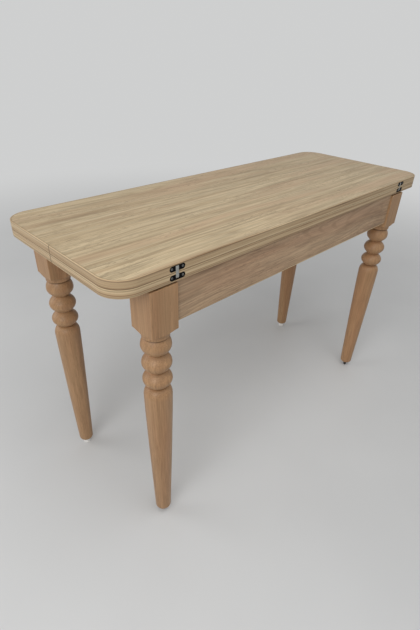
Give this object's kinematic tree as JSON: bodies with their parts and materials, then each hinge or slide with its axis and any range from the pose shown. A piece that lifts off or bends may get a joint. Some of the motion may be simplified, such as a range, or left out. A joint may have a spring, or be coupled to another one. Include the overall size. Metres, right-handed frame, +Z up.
{
  "type": "folding kitchen table",
  "caption": "Narrow kitchen table on turned legs; the upper leaf folds over on edge hinges to double the top, carried by a front frame that pulls out on telescopic slides.",
  "frame": {"origin": "on the floor, under the middle of the closed top", "axes": "+X along the long side to the right as seen from the front, +Y to the back, +Z up; the hinged edge faces -Y"},
  "size_m": [1.2, 0.45, 0.75],
  "materials": {
    "oak_laminate": "satin light oak laminate",
    "oak_band": "satin oak edge band",
    "beech": "satin lacquered beech",
    "rail_wood": "bare planed softwood",
    "black_steel": "black painted",
    "zinc_steel": "zinc plated",
    "white_plastic": "matt white",
    "black_plastic": "matt black"
  },
  "bodies": {
    "back_frame": {"leg_back_left": "beech", "leg_back_right": "beech", "glide_back_left": "white_plastic", "glide_back_right": "white_plastic", "back_apron": "oak_laminate", "outer_rail_left": "rail_wood", "outer_rail_right": "rail_wood", "slide_outer_member_left": "zinc_steel", "slide_outer_member_right": "zinc_steel", "outer_slide_screw_left_front": "zinc_steel", "outer_slide_screw_left_back": "zinc_steel", "outer_slide_screw_right_front": "zinc_steel", "outer_slide_screw_right_back": "zinc_steel", "leaf_screw_left_front": "zinc_steel", "leaf_screw_left_back": "zinc_steel", "leaf_screw_right_front": "zinc_steel", "leaf_screw_right_back": "zinc_steel", "lower_leaf_board": "oak_laminate", "lower_leaf_edge_band": "oak_band", "lower_hinge_plate_left": "black_steel", "lower_hinge_plate_right": "black_steel", "lower_hinge_pin_left": "zinc_steel", "lower_hinge_pin_right": "zinc_steel", "lower_hinge_screw_left_outer": "zinc_steel", "lower_hinge_screw_left_inner": "zinc_steel", "lower_hinge_screw_right_outer": "zinc_steel", "lower_hinge_screw_right_inner": "zinc_steel"},
    "front_frame": {"leg_front_left": "beech", "leg_front_right": "beech", "glide_front_left": "black_plastic", "glide_front_right": "black_plastic", "front_apron": "oak_laminate", "front_apron_edge_band": "oak_band", "inner_rail_left": "rail_wood", "inner_rail_right": "rail_wood", "tie_rail": "rail_wood", "slide_inner_member_left": "zinc_steel", "slide_inner_member_right": "zinc_steel", "inner_slide_screw_left_front": "zinc_steel", "inner_slide_screw_left_back": "zinc_steel", "inner_slide_screw_right_front": "zinc_steel", "inner_slide_screw_right_back": "zinc_steel"},
    "outer_retainers": {"slide_outer_retainer_left": "zinc_steel", "slide_outer_retainer_right": "zinc_steel"},
    "slide_middles": {"slide_middle_member_left": "zinc_steel", "slide_middle_member_right": "zinc_steel"},
    "inner_retainers": {"slide_inner_retainer_left": "zinc_steel", "slide_inner_retainer_right": "zinc_steel"},
    "flip_leaf": {"upper_leaf_board": "oak_laminate", "upper_leaf_edge_band": "oak_band", "upper_hinge_plate_left": "black_steel", "upper_hinge_plate_right": "black_steel", "upper_hinge_pin_left": "zinc_steel", "upper_hinge_pin_right": "zinc_steel", "upper_hinge_screw_left_outer": "zinc_steel", "upper_hinge_screw_left_inner": "zinc_steel", "upper_hinge_screw_right_outer": "zinc_steel", "upper_hinge_screw_right_inner": "zinc_steel"},
    "hinge_links": {"hinge_link_left": "zinc_steel", "hinge_link_right": "zinc_steel"}
  },
  "joints": [
    {"name": "frame_pull", "type": "slide", "parent": "back_frame", "child": "front_frame", "axis": [0, -1, 0], "range_m": [0, 0.28]},
    {"name": "outer_retainer_travel", "type": "slide", "parent": "back_frame", "child": "outer_retainers", "axis": [0, -1, 0], "range_m": [0, 0.07]},
    {"name": "slide_middle_travel", "type": "slide", "parent": "back_frame", "child": "slide_middles", "axis": [0, -1, 0], "range_m": [0, 0.14]},
    {"name": "inner_retainer_travel", "type": "slide", "parent": "back_frame", "child": "inner_retainers", "axis": [0, -1, 0], "range_m": [0, 0.21]},
    {"name": "leaf_flip", "type": "hinge", "parent": "back_frame", "child": "flip_leaf", "pos_m": [0, -0.2253, 0.7318], "axis": [1, 0, 0], "range_deg": [0, 180]},
    {"name": "link_turn", "type": "hinge", "parent": "back_frame", "child": "hinge_links", "pos_m": [0, -0.2212, 0.7256], "axis": [1, 0, 0], "range_deg": [0, 90]}
  ],
  "couplings": [
    {"joint": "outer_retainer_travel", "follows": "frame_pull", "ratio": 0.25},
    {"joint": "slide_middle_travel", "follows": "frame_pull", "ratio": 0.5},
    {"joint": "inner_retainer_travel", "follows": "frame_pull", "ratio": 0.75},
    {"joint": "link_turn", "follows": "leaf_flip", "ratio": 0.5}
  ]
}
